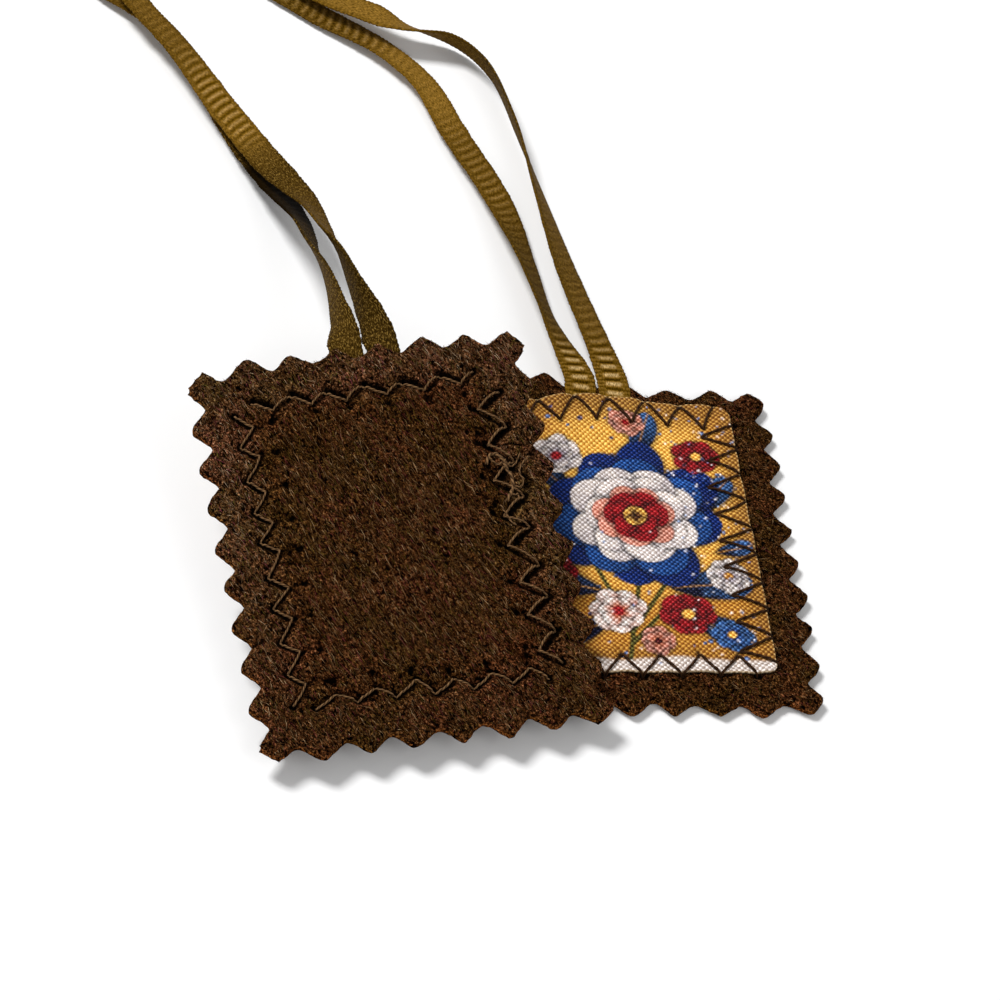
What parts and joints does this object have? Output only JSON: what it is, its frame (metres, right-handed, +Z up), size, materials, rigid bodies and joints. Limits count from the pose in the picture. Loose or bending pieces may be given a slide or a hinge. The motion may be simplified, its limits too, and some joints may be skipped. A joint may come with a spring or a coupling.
{
  "type": "cloth scapular",
  "caption": "Small cloth scapular laid flat: pinked felt panels with sewn-on cloth patches, one face up and one face down, joined by narrow ribbons.",
  "frame": {"origin": "on the surface, under the middle of the two felt panels, ribbons left out", "axes": "+Z up from the surface, +Y away from the viewer towards the ribbon loop, +X to the viewer's right"},
  "size_m": [0.1262, 0.2212, 0.0158],
  "materials": {
    "felt": "dark brown wool felt, fibrous, matt, cut with pinking shears",
    "patch": "plain-weave cloth printed in gold with a flower design, faint gloss",
    "ribbon": "olive brown ribbed ribbon with a soft sheen",
    "thread": "dark brown sewing thread"
  },
  "bodies": {
    "root": {"felt_face_up": "felt", "patch_face_up": "patch", "felt_face_down": "felt", "patch_face_down": "patch", "ribbon_left": "ribbon", "ribbon_right": "ribbon"}
  },
  "joints": []
}
